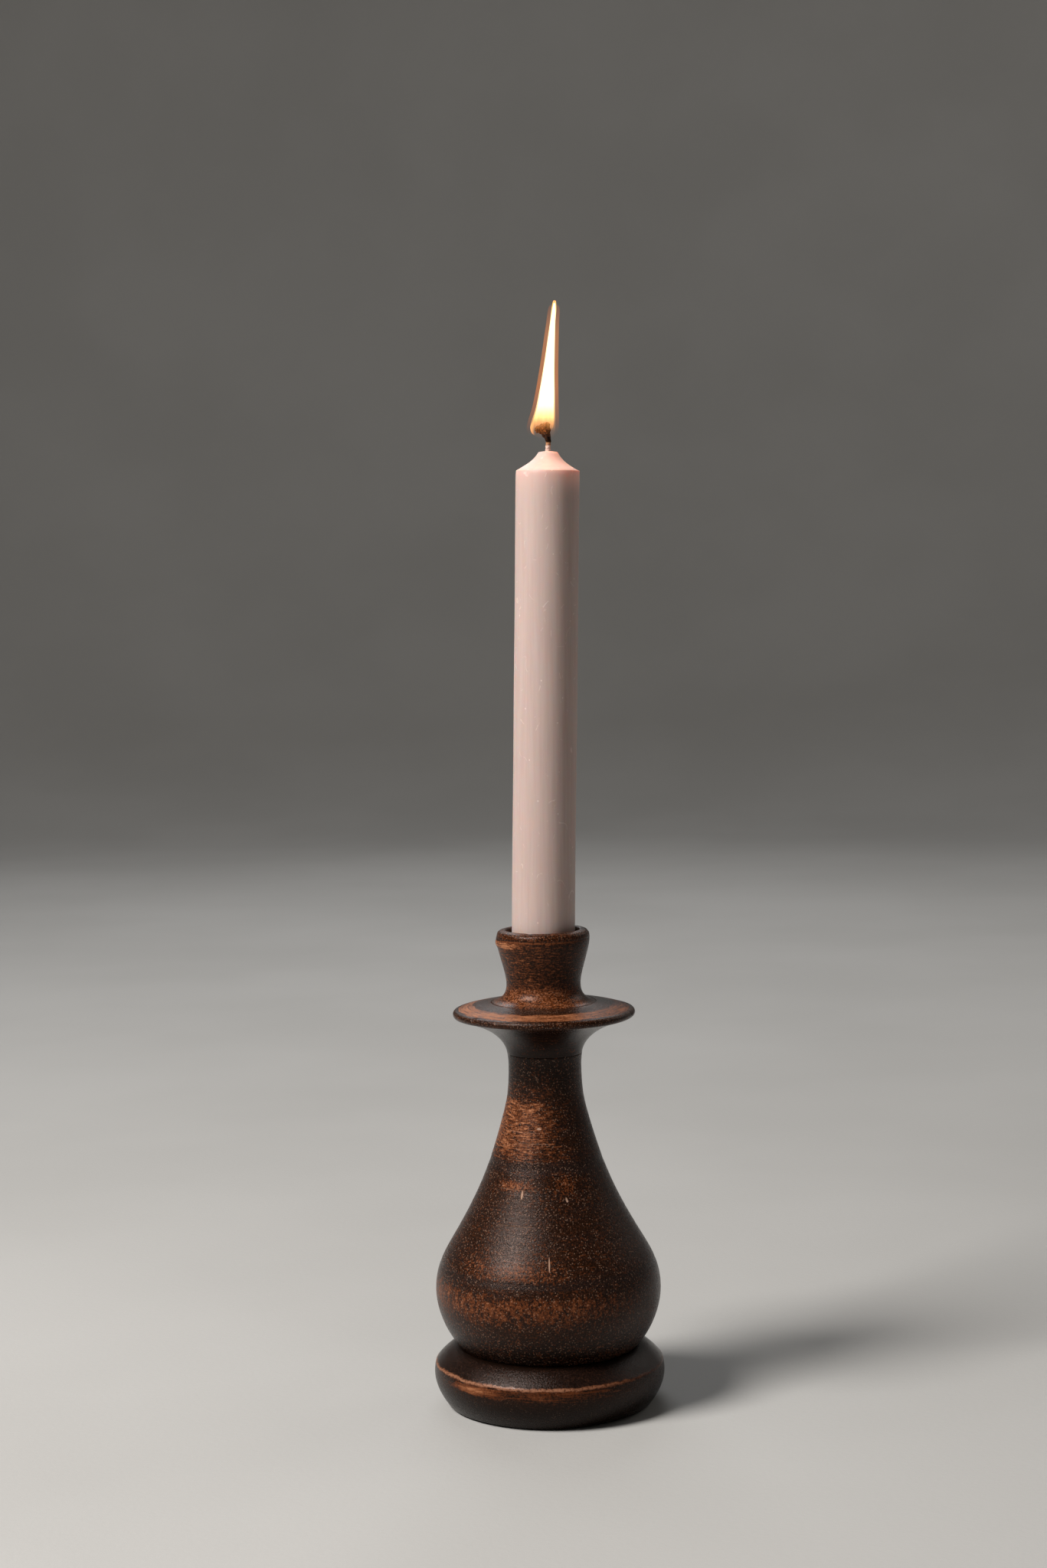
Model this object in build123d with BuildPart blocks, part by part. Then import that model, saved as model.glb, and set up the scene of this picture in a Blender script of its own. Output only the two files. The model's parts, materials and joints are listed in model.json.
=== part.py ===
from build123d import *
import os
from math import cos, radians, sin

# Turned wooden candlestick with a lit dinner candle. Millimetres, +Z up.
# The origin is the centre of the felt pad's underside, on the surface the stick stands on.

# ---------------------------------------------------------------- driving dimensions
# Foot: a cross-grained turned disc
foot_height = 20.5          # underside of the wood to the seat the body stands on
foot_edge_r = 40.0          # crisp edge between side and shoulder
foot_edge_drop = 5.7        # that edge, below the seat
foot_swell_out = 0.4        # how far the side swells past the edge
foot_swell_drop = 3.5       # the swell, below the edge
foot_under_in = 4.4         # how far the side draws in, down to the underside
foot_under_round = 0.8      # softened bottom arris

# Felt pad, let into the underside
pad_margin = 3.6            # bare wood left round it
pad_thickness = 1.5
pad_proud = 0.5             # how far the felt stands out of the wood
pad_gap = 0.3

# Body: pear-shaped belly drawn up into a slim neck
body_height = 103.0         # seat to the joint under the drip pan
crease_r = 31.4             # where the belly meets the foot
seat_margin = 0.5           # flat of the foot's seat left round it
belly_r = 39.4
belly_up = 19.8             # widest place, above the seat
neck_r = 12.72
neck_drop = 4.5             # thinnest place, below the drip pan's joint
pan_joint_flare = 0.38      # the neck has opened by this much where it meets the pan

# Tenon on the body, mortise in the foot
tenon_r = 14.0
tenon_length = 9.5
glue_gap = 0.5              # left at the bottom of each blind mortise

# Screw up through the foot into the body
screw_shank_r = 2.1
screw_head_r = 4.3
screw_head_height = 2.6
screw_length = 28.0         # under the head
screw_thread_depth = 0.45
screw_thread_pitch = 2.0
screw_slot_width = 1.1
screw_slot_depth = 1.2
shank_hole_gap = 0.2        # round the shank, in the foot
head_hole_gap = 0.7         # round the head, in the counterbore
head_recess = 4.2           # depth of the counterbore, from the pad's recess

# Drip pan: a saucer with a hub that carries on the line of the neck
pan_r = 31.75
pan_height = 17.4           # its joint on the neck to its seat under the cup
pan_rim_drop = 3.5          # middle of the rim, below the seat
pan_rim_half = 1.4          # half the rim's thickness
pan_rim_inset = 1.45        # the rim's rounding, in from its edge
pan_seat_gap = 0.05         # round the cup's base, let in flush with the pan

# Candle cup and the spigot turned on it
cup_height = 25.7           # its base to the top of the lip
cup_base_spread = 5.3       # the base, past the waist
cup_base_edge = 0.5         # thin vertical edge of the spread base
cup_waist_up = 7.0
cup_waist_wall = 1.48       # the waist, past the socket's floor
cup_rim_wall = 4.0          # widest place under the lip, past the socket's mouth
cup_swell_drop = 2.5        # that place, below the lip's top
lip_in = 1.8                # crown of the rounded lip, in from the widest place
spigot_r = 6.0
spigot_in_neck = 15.4       # below the drip pan
socket_depth = 15.9
socket_taper = 0.8          # the socket narrows by this much, on its radius
socket_mouth_gap = 1.3      # round the candle, at the mouth
socket_mouth_round = 1.2

# Candle: a straight dinner candle, standing a little out of plumb in its socket
candle_r = 11.0
candle_height = 174.0       # to its shoulder
candle_lean = 1.45          # degrees, towards +X
candle_shift = 0.15         # how far its foot stands to the -X side of the socket's middle
candle_bed = 0.6            # melted wax under it, which the pieces leave out
cone_height = 6.35
cone_top_r = 3.35

# Wick and flame
wick_r = 0.85
wick_stem = 4.0             # straight part above the wax
wick_hook_r = 2.4           # its charred end curls over
wick_hook_turn = 105.0      # degrees
wick_tip_r = 1.6
flame_foot_up = 4.7         # bottom of the flame, above the wax
flame_height = 46.5

# ---------------------------------------------------------------- heights and radii that follow
foot_under_z = pad_proud
seat_z = foot_under_z + foot_height
foot_edge_z = seat_z - foot_edge_drop
foot_swell_z = foot_edge_z - foot_swell_drop
foot_swell_r = foot_edge_r + foot_swell_out
foot_under_r = foot_edge_r - foot_under_in
foot_seat_r = crease_r + seat_margin
pad_recess = pad_thickness - pad_proud
pad_r = foot_under_r - pad_margin
belly_z = seat_z + belly_up
pan_joint_z = seat_z + body_height
neck_z = pan_joint_z - neck_drop
pan_joint_r = neck_r + pan_joint_flare
cup_base_z = pan_joint_z + pan_height
pan_rim_z = cup_base_z - pan_rim_drop
base_edge_z = cup_base_z + cup_base_edge
cup_waist_z = cup_base_z + cup_waist_up
cup_top_z = cup_base_z + cup_height
cup_swell_z = cup_top_z - cup_swell_drop
socket_floor_z = cup_top_z - socket_depth
socket_mouth_r = candle_r + socket_mouth_gap
socket_floor_r = socket_mouth_r - socket_taper
cup_waist_r = socket_floor_r + cup_waist_wall
cup_base_r = cup_waist_r + cup_base_spread
cup_r = socket_mouth_r + cup_rim_wall
lip_r = cup_r - lip_in
pan_seat_r = cup_base_r + pan_seat_gap
head_face_z = foot_under_z + pad_recess + head_recess
screw_tip_z = head_face_z + screw_length
tenon_z = seat_z - tenon_length

lean = radians(candle_lean)
candle_axis_dir = (sin(lean), 0, cos(lean))
candle_base = (-candle_shift, 0, socket_floor_z + candle_bed)
candle_side = Plane(origin=candle_base, x_dir=(cos(lean), 0, -sin(lean)), z_dir=(0, -1, 0))
candle_axis = Axis(candle_base, candle_axis_dir)
candle_top = candle_height + cone_height
upright = (0, 1)


def between(start, end, share):
    """The value a given share of the way from start to end."""
    return start + share * (end - start)


# ---------------------------------------------------------------- foot
with BuildPart() as foot:
    with BuildSketch(Plane.XZ):
        with BuildLine():
            Line((0, foot_under_z), (foot_under_r, foot_under_z))
            Spline(
                (foot_under_r, foot_under_z),
                (foot_swell_r, foot_swell_z),
                (foot_edge_r, foot_edge_z),
                tangents=[(1, 1.2), (-0.12, 1)],
            )
            Bezier(
                (foot_edge_r, foot_edge_z),
                (between(foot_edge_r, foot_seat_r, 0.33), between(foot_edge_z, seat_z, 0.46)),
                (between(foot_edge_r, foot_seat_r, 0.67), between(foot_edge_z, seat_z, 0.94)),
                (foot_seat_r, seat_z),
            )
            Line((foot_seat_r, seat_z), (0, seat_z))
            Line((0, seat_z), (0, foot_under_z))
        make_face()
    revolve(axis=Axis.Z)
    fillet(foot.edges().filter_by(GeomType.CIRCLE).group_by(Axis.Z)[0], radius=foot_under_round)
    with BuildSketch(Plane.XY.offset(seat_z)):
        Circle(tenon_r)
    extrude(amount=-(tenon_length + glue_gap), mode=Mode.SUBTRACT)
    with BuildSketch(Plane.XY.offset(foot_under_z)):
        Circle(pad_r + pad_gap)
    extrude(amount=pad_recess, mode=Mode.SUBTRACT)
    with Locations(Plane(origin=(0, 0, foot_under_z + pad_recess), z_dir=(0, 0, -1))):
        CounterBoreHole(
            radius=screw_shank_r + shank_hole_gap,
            counter_bore_radius=screw_head_r + head_hole_gap,
            counter_bore_depth=head_recess,
        )

# ---------------------------------------------------------------- felt pad
with BuildPart() as felt_pad:
    with BuildSketch():
        Circle(pad_r)
    extrude(amount=pad_thickness)

# ---------------------------------------------------------------- body, with its tenon
with BuildPart() as body:
    with BuildSketch(Plane.XZ):
        with BuildLine():
            Line((0, tenon_z), (tenon_r, tenon_z))
            Line((tenon_r, tenon_z), (tenon_r, seat_z))
            Line((tenon_r, seat_z), (crease_r, seat_z))
            Bezier(
                (crease_r, seat_z),
                (between(crease_r, belly_r, 0.45), between(seat_z, belly_z, 0.18)),
                (belly_r, between(seat_z, belly_z, 0.59)),
                (belly_r, belly_z),
            )
            Spline(
                (belly_r, belly_z),
                (between(belly_r, neck_r, 0.221), between(belly_z, neck_z, 0.222)),
                (between(belly_r, neck_r, 0.652), between(belly_z, neck_z, 0.502)),
                (between(belly_r, neck_r, 0.913), between(belly_z, neck_z, 0.771)),
                (neck_r, neck_z),
                tangents=[upright, upright],
            )
            Spline((neck_r, neck_z), (pan_joint_r, pan_joint_z), tangents=[upright, (0.16, 1)])
            Line((pan_joint_r, pan_joint_z), (0, pan_joint_z))
            Line((0, pan_joint_z), (0, tenon_z))
        make_face()
    revolve(axis=Axis.Z)
    with BuildSketch(Plane.XY.offset(pan_joint_z)):
        Circle(spigot_r)
    extrude(amount=-(spigot_in_neck + glue_gap), mode=Mode.SUBTRACT)
    with BuildSketch(Plane.XY.offset(tenon_z)):
        Circle(screw_shank_r)
    extrude(amount=screw_tip_z + glue_gap - tenon_z, mode=Mode.SUBTRACT)

# ---------------------------------------------------------------- screw under the foot
with BuildPart() as foot_screw:
    point_length = 2 * screw_shank_r
    thread_length = screw_tip_z - point_length - tenon_z
    thread_count = int(thread_length / screw_thread_pitch)
    head_top_z = head_face_z - screw_head_height
    screw_outline = [
        (0, head_top_z),
        (screw_head_r - screw_head_height / 2, head_top_z),
        (screw_head_r, head_face_z - screw_head_height / 2),
        (screw_head_r, head_face_z),
        (screw_shank_r, head_face_z),
    ]
    for turn in range(thread_count):
        crest_z = tenon_z + (turn + 0.5) * screw_thread_pitch
        screw_outline += [
            (screw_shank_r, crest_z - screw_thread_pitch / 4),
            (screw_shank_r + screw_thread_depth, crest_z),
            (screw_shank_r, crest_z + screw_thread_pitch / 4),
        ]
    screw_outline += [(screw_shank_r, screw_tip_z - point_length), (0, screw_tip_z)]
    with BuildSketch(Plane.XZ):
        with BuildLine():
            Polyline(*screw_outline, close=True)
        make_face()
    revolve(axis=Axis.Z)
    with BuildSketch(Plane.XY.offset(head_top_z)):
        Rectangle(3 * screw_head_r, screw_slot_width)
    extrude(amount=screw_slot_depth, mode=Mode.SUBTRACT)

# ---------------------------------------------------------------- drip pan
with BuildPart() as drip_pan:
    rim_in_r = pan_r - pan_rim_inset
    with BuildSketch(Plane.XZ):
        with BuildLine():
            Line((0, pan_joint_z), (pan_joint_r, pan_joint_z))
            Bezier(
                (pan_joint_r, pan_joint_z),
                (pan_joint_r + 0.16 * 5.5, pan_joint_z + 5.5),
                (between(rim_in_r, pan_joint_r, 0.58), pan_rim_z - pan_rim_half - 2.5),
                (rim_in_r, pan_rim_z - pan_rim_half),
            )
            ThreePointArc(
                (rim_in_r, pan_rim_z - pan_rim_half),
                (pan_r, pan_rim_z),
                (rim_in_r, pan_rim_z + pan_rim_half),
            )
            Spline(
                (rim_in_r, pan_rim_z + pan_rim_half),
                (pan_seat_r, base_edge_z),
                tangents=[(-1, 0.34), (-1, 0.16)],
            )
            Line((pan_seat_r, base_edge_z), (pan_seat_r, cup_base_z))
            Line((pan_seat_r, cup_base_z), (0, cup_base_z))
            Line((0, cup_base_z), (0, pan_joint_z))
        make_face()
    revolve(axis=Axis.Z)
    with Locations((0, 0, cup_base_z)):
        Hole(radius=spigot_r)

# ---------------------------------------------------------------- candle cup, with its spigot
with BuildPart() as candle_cup:
    spigot_end_z = pan_joint_z - spigot_in_neck
    with BuildSketch(Plane.XZ):
        with BuildLine():
            Line((0, spigot_end_z), (spigot_r, spigot_end_z))
            Line((spigot_r, spigot_end_z), (spigot_r, cup_base_z))
            Line((spigot_r, cup_base_z), (cup_base_r, cup_base_z))
            Line((cup_base_r, cup_base_z), (cup_base_r, base_edge_z))
            Bezier(
                (cup_base_r, base_edge_z),
                (between(cup_base_r, cup_waist_r, 0.95), between(base_edge_z, cup_waist_z, 0.16)),
                (cup_waist_r, between(base_edge_z, cup_waist_z, 0.68)),
                (cup_waist_r, cup_waist_z),
            )
            Bezier(
                (cup_waist_r, cup_waist_z),
                (cup_waist_r, between(cup_waist_z, cup_swell_z, 0.27)),
                (cup_r, between(cup_waist_z, cup_swell_z, 0.73)),
                (cup_r, cup_swell_z),
            )
            Spline(
                (cup_r, cup_swell_z),
                (lip_r, cup_top_z),
                (socket_mouth_r, cup_top_z - socket_mouth_round),
                tangents=[upright, (0, -1)],
            )
            Line((socket_mouth_r, cup_top_z - socket_mouth_round), (socket_floor_r, socket_floor_z))
            Line((socket_floor_r, socket_floor_z), (0, socket_floor_z))
            Line((0, socket_floor_z), (0, spigot_end_z))
        make_face()
    revolve(axis=Axis.Z)

# ---------------------------------------------------------------- candle
with BuildPart() as candle:
    with BuildSketch(candle_side):
        with BuildLine():
            Line((wick_r, 0), (candle_r, 0))
            Line((candle_r, 0), (candle_r, candle_height))
            Spline(
                (candle_r, candle_height),
                (cone_top_r, candle_top),
                tangents=[(-1.3, 0.62), (-0.6, 1.1)],
            )
            Line((cone_top_r, candle_top), (wick_r, candle_top))
            Line((wick_r, candle_top), (wick_r, 0))
        make_face()
    revolve(axis=candle_axis)

# ---------------------------------------------------------------- wick, from end to end of the candle
with BuildPart() as wick:
    hook_z = candle_top + wick_stem
    hook_angle = radians(wick_hook_turn)
    hook_end = (-wick_hook_r * (1 - cos(hook_angle)), hook_z + wick_hook_r * sin(hook_angle))
    with BuildLine(candle_side) as wick_line:
        Line((0, 0), (0, hook_z))
        CenterArc((-wick_hook_r, hook_z), wick_hook_r, 0, wick_hook_turn)
    with BuildSketch(Plane(origin=candle_base, z_dir=candle_axis_dir)):
        Circle(wick_r)
    sweep(path=wick_line.wires()[0])
    with Locations(candle_side.from_local_coords((hook_end[0], hook_end[1], 0))):
        Sphere(wick_tip_r)

# ---------------------------------------------------------------- flame, a stand-in for burning gas
with BuildPart() as flame:
    flame_foot = candle_top + flame_foot_up
    flame_stations = (
        # share of the height, middle's shift to the side, half-width
        (0.00, -2.5, 0.9),
        (0.08, -1.85, 4.3),
        (0.20, -1.1, 3.65),
        (0.45, -0.05, 2.45),
        (0.70, 0.75, 1.7),
        (0.92, 1.5, 1.15),
        (1.00, 1.6, 0.5),
    )
    for share, shift, half_width in flame_stations:
        height = flame_foot + share * flame_height
        centre = candle_side.from_local_coords((shift, height, 0))
        with BuildSketch(Plane(origin=centre, z_dir=candle_axis_dir)):
            Circle(half_width)
    loft()

# ---------------------------------------------------------------- one STEP file for each piece
os.makedirs("parts", exist_ok=True)

foot.part.label = "foot"
export_step(foot.part, "parts/foot.step")
felt_pad.part.label = "felt_pad"
export_step(felt_pad.part, "parts/felt_pad.step")
body.part.label = "body"
export_step(body.part, "parts/body.step")
foot_screw.part.label = "foot_screw"
export_step(foot_screw.part, "parts/foot_screw.step")
drip_pan.part.label = "drip_pan"
export_step(drip_pan.part, "parts/drip_pan.step")
candle_cup.part.label = "candle_cup"
export_step(candle_cup.part, "parts/candle_cup.step")
candle.part.label = "candle"
export_step(candle.part, "parts/candle.step")
wick.part.label = "wick"
export_step(wick.part, "parts/wick.step")
flame.part.label = "flame"
export_step(flame.part, "parts/flame.step")
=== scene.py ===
"""Looks of the turned wooden candlestick with a lit dinner candle.

The four turned pieces and the candle are the sections of their CAD nodes carried round their axes, with
wear and knocks added. The wick, the flame and the felt are worked out on grids of their own. Meshes are in
metres, in the CAD's frame. Sizes are in mm unless a comment says otherwise, and heights are above the surface
that the stick stands on. Directions are in degrees from the front (-Y), positive towards +X.
"""
import json

import bpy
import numpy as np
from mathutils import Matrix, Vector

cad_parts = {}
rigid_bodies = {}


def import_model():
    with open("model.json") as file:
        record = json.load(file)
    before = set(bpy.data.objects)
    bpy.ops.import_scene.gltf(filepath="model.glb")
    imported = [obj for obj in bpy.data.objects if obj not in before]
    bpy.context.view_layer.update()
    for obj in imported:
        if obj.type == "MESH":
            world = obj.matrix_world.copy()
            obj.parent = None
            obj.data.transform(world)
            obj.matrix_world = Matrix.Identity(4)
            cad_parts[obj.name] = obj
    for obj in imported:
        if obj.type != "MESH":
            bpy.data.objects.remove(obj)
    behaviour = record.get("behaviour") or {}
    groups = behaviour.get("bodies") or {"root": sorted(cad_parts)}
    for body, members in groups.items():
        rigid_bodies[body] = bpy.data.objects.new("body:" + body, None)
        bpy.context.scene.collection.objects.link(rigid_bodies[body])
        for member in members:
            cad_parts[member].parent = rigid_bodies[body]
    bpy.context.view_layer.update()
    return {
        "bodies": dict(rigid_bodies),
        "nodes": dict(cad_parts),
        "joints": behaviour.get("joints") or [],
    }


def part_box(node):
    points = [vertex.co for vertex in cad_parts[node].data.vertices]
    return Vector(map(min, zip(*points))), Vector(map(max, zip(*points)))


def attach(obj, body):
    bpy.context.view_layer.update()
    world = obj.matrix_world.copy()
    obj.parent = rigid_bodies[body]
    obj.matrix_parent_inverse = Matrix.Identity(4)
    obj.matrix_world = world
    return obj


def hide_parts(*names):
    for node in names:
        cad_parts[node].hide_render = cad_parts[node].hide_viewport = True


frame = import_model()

MM = 0.001
TAU = 2 * np.pi
STICK, CANDLE = "stick", "candle"


def top_of(node):
    """The height of a CAD node's highest point, in mm."""
    return float(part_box(node)[1].z) / MM


# ------------------------------------------------------------------ shader values
class Value:
    """A number on its way through a material's nodes; arithmetic on it adds Math nodes.

    at_most and at_least are the smaller and the larger of it and another number.
    """

    def __init__(self, paint, socket):
        self.paint = paint
        self.socket = socket

    def __add__(self, other):
        return self.paint.math("ADD", self, other)

    __radd__ = __add__

    def __mul__(self, other):
        return self.paint.math("MULTIPLY", self, other)

    __rmul__ = __mul__

    def __sub__(self, other):
        return self.paint.math("SUBTRACT", self, other)

    def __rsub__(self, other):
        return self.paint.math("SUBTRACT", other, self)

    def __truediv__(self, other):
        return self.paint.math("DIVIDE", self, other)

    def __pow__(self, other):
        return self.paint.math("POWER", self, other)

    def at_most(self, other):
        return self.paint.math("MINIMUM", self, other)

    def at_least(self, other):
        return self.paint.math("MAXIMUM", self, other)

    def size(self):
        """Its distance from 0."""
        return self.paint.math("ABSOLUTE", self)

    def rise(self, low, high):
        """0 below low, 1 above high, smooth between; where low is the larger, it falls instead."""
        if low > high:
            return 1 - self.rise(high, low)
        # the first three sockets are the value and the two ends of its range
        smooth = {"interpolation_type": "SMOOTHSTEP"}
        made = self.paint.node("ShaderNodeMapRange", smooth, {0: self, 1: low, 2: high})
        return Value(self.paint, made.outputs[0])

    def near(self, middle, half, soft):
        """1 within half of middle, falling to 0 over soft."""
        return (self - middle).size().rise(half + soft, half)


class Paint:
    """One material, with a method for each kind of node that the finishes need."""

    def __init__(self, name):
        self.material = bpy.data.materials.new(name)
        self.material.use_nodes = True
        self.tree = self.material.node_tree
        self.tree.nodes.clear()
        place = self.node("ShaderNodeTexCoord").outputs["Object"]
        apart = self.node("ShaderNodeSeparateXYZ", {}, {0: place}).outputs
        self.x, self.y, self.z = (Value(self, apart[i]) / MM for i in range(3))
        # kept just off 0, because finishes divide by it
        self.r = (self.x * self.x + self.y * self.y + 0.001) ** 0.5

    def node(self, kind, settings=None, inputs=None):
        """A node of a kind: its settings are made first, then its sockets get their values or links."""
        made = self.tree.nodes.new(kind)
        for key, value in (settings or {}).items():
            if key == "stops":
                self.set_stops(made.color_ramp, value)
            else:
                setattr(made, key, value)
        for key, value in (inputs or {}).items():
            self.feed(made.inputs[key], value)
        return made

    def set_stops(self, ramp, stops):
        """Gives a colour ramp its stops, each a place from 0 to 1 and a colour."""
        while len(ramp.elements) < len(stops):
            ramp.elements.new(0.5)
        for element, (place, colour) in zip(ramp.elements, stops):
            element.position = place
            element.color = (*colour, 1)

    def feed(self, socket, value):
        """Links a value or a node's output to a socket, or sets the socket to a number or a colour."""
        if isinstance(value, Value):
            value = value.socket
        if isinstance(value, bpy.types.NodeSocket):
            self.tree.links.new(value, socket)
        elif socket.type == "RGBA":
            socket.default_value = (*value, 1)
        else:
            socket.default_value = value

    def math(self, operation, *values):
        """The result of a Math node on numbers or values."""
        made = self.node("ShaderNodeMath", {"operation": operation}, dict(enumerate(values)))
        return Value(self, made.outputs[0])

    def vector(self, x, y, z):
        """Three numbers or values as one vector."""
        return self.node("ShaderNodeCombineXYZ", {}, {0: x, 1: y, 2: z}).outputs[0]

    def noise(self, x, y, z, detail=2.0, rough=0.5, warp=0.0):
        """Cloudy noise round 0.5 at a place given in its own units, one unit to a lump."""
        inputs = {"Vector": self.vector(x, y, z), "Scale": 1.0, "Detail": detail}
        inputs.update({"Roughness": rough, "Distortion": warp})
        return Value(self, self.node("ShaderNodeTexNoise", {}, inputs).outputs[0])

    def grains(self, x, y, z):
        """Distance to the nearest of many scattered points, about one unit apart."""
        inputs = {"Vector": self.vector(x, y, z), "Scale": 1.0}
        return Value(self, self.node("ShaderNodeTexVoronoi", {}, inputs).outputs["Distance"])

    def mix(self, share, first, second):
        """The colour between two by that share; the node's colour sockets are 6, 7 and output 2."""
        made = self.node("ShaderNodeMix", {"data_type": "RGBA"}, {0: share, 6: first, 7: second})
        return made.outputs[2]

    def tint(self, share, stops):
        """The colour at share along stops, each a place from 0 to 1 and its colour."""
        return self.node("ShaderNodeValToRGB", {"stops": stops}, {0: share}).outputs[0]

    def facing(self, degrees):
        """Cosine of the angle round the stick from the direction that many degrees right of the front."""
        a = np.radians(degrees)
        return (self.x * float(np.sin(a)) - self.y * float(np.cos(a))) / self.r

    def side(self, degrees):
        """Distance round the surface, in mm, from that direction; right for places facing it."""
        a = np.radians(degrees)
        return self.x * float(np.cos(a)) + self.y * float(np.sin(a))

    def spot(self, degrees, height, wide, tall, soft, slant=0.0):
        """An oval patch on the side of the stick: 1 inside, 0 outside, with half-sizes wide and tall.

        Its edge is where the squares of the two distances, each over its half-size, add up to 1.
        """
        across = self.side(degrees)
        up = self.z - height - across * slant
        off = ((across / wide) ** 2 + (up / tall) ** 2) ** 0.5
        return off.rise(1 + soft, 1 - soft) * self.facing(degrees).rise(0.0, 0.3)

    def bump(self, height, depth):
        """The normal of a surface raised by height times depth mm."""
        inputs = {"Strength": 1.0, "Distance": depth * MM, "Height": height}
        return self.node("ShaderNodeBump", {}, inputs).outputs[0]

    def surface(self, **inputs):
        """The finish itself; names are the Principled shader's sockets with _ for a space."""
        named = {key.replace("_", " "): value for key, value in inputs.items()}
        return self.node("ShaderNodeBsdfPrincipled", {}, named).outputs[0]

    def done(self, shader):
        """The finished material, with that shader as its surface."""
        self.node("ShaderNodeOutputMaterial", {}, {0: shader})
        return self.material


# ------------------------------------------------------------------ shapes
UP, CENTRE = (0, 0, 1), (0, 0)
CUT_TURN = 0.37  # radians: an odd angle, so that the cutting plane misses the meshes' own vertices
SAME_POINT = 2e-6  # metres: points of a section nearer to each other than this are one
ON_AXIS = 1e-5  # metres: a section that starts nearer the axis than this starts on it
NO_LENGTH = 1e-9  # metres: keeps a division from 0
CORNER = 22.0  # degrees: where a section turns more sharply than this, the corner stays


def points_of(mesh):
    """The mesh's vertices as rows of x, y, z."""
    points = np.empty(len(mesh.vertices) * 3, np.float32)
    mesh.vertices.foreach_get("co", points)
    return points.reshape(-1, 3).astype(float)


def section(node, axis, middle):
    """The half-section of a turned CAD node, as rows of radius and height in metres.

    The node is turned so that its axis stands upright over middle, and a half-plane through the axis cuts
    its triangles: an edge with ends on both sides is cut in the ratio of their distances from the plane. The
    cuts are joined end to end, from the axis outwards where the section starts on the axis.
    """
    mesh = frame["nodes"][node].data
    mesh.calc_loop_triangles()
    corners = np.empty(len(mesh.loop_triangles) * 3, np.int32)
    mesh.loop_triangles.foreach_get("vertices", corners)
    first = corners.reshape(-1, 3)
    second = np.roll(first, -1, 1)
    local = points_of(mesh) @ upright(axis)
    local[:, :2] -= middle
    out = local[:, 0] * np.cos(CUT_TURN) + local[:, 1] * np.sin(CUT_TURN)
    off = local[:, 1] * np.cos(CUT_TURN) - local[:, 0] * np.sin(CUT_TURN)
    flat = np.stack([out, local[:, 2]], 1)
    crossing = (off[first] > 0) != (off[second] > 0)
    cut = crossing.any(1)
    share = off[first] / np.where(crossing, off[first] - off[second], 1)
    hits = flat[first] + share[..., None] * (flat[second] - flat[first])
    ends = hits[cut][crossing[cut]].reshape(-1, 2, 2)
    ends = ends[(ends[..., 0] > 0).any(1)]
    on_axis = ends[..., 0] < 0
    ends[..., 0] = np.maximum(ends[..., 0], 0)
    return chain(ends, on_axis)


def chain(ends, on_axis):
    """Segments joined end to end into one line: each next segment is the one left whose end is nearest.

    It starts with the lowest end that lies on the axis, or with the first segment where none does.
    """
    left = list(range(len(ends)))
    starts = np.argwhere(on_axis)
    index, end = starts[np.argmin(ends[starts[:, 0], starts[:, 1], 1])] if len(starts) else (0, 0)
    line = [ends[index, end], ends[index, 1 - end]]
    left.remove(index)
    while left:
        rest = ends[left]
        gap = np.hypot(*(rest - line[-1]).transpose(2, 0, 1))
        pick, end = np.unravel_index(np.argmin(gap), gap.shape)
        line.append(rest[pick, 1 - end])
        left.pop(pick)
    line = np.array(line)
    keep = np.r_[True, np.hypot(*np.diff(line, axis=0).T) > SAME_POINT]
    return line[keep]


def resampled(line, fine, coarse, seen, arris):
    """A section line with even points, in metres: fine steps where seen(r, z) holds, coarse ones elsewhere.

    Between two corners the line is cut into equal steps of its own length, from one arris to the next: each
    corner is cut back on both sides by that much, or by a quarter of the stretch where that is less.
    """
    way = np.diff(line, axis=0)
    angle = np.degrees(np.abs(np.diff(np.unwrap(np.arctan2(way[:, 1], way[:, 0])))))
    corners = [0, *(np.flatnonzero(angle > CORNER) + 1), len(line) - 1]
    kept = []
    for start, end in zip(corners[:-1], corners[1:]):
        run = line[start:end + 1]
        along = np.r_[0, np.cumsum(np.hypot(*np.diff(run, axis=0).T))]
        # a straight stretch has only its two ends, so its middle is between them
        middle = run[len(run) // 2] if len(run) > 2 else (run[0] + run[-1]) / 2
        step = fine if seen(*(middle / MM)) else coarse
        count = max(1, int(round(along[-1] / step)))
        cut = min(arris, along[-1] / 4)
        stops = np.linspace(cut, along[-1] - cut, count + 1)
        kept.append(np.stack([np.interp(stops, along, run[:, i]) for i in (0, 1)], 1))
    return np.concatenate([line[:1], *kept, line[-1:]])


def upright(axis):
    """A rotation whose third column is the axis: points @ it have their height along the axis last."""
    up = np.array(axis, float)
    up /= np.linalg.norm(up)
    right = np.cross((0, 1, 0), up)
    right /= np.linalg.norm(right)
    return np.stack([right, np.cross(up, right), up], 1)


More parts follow.
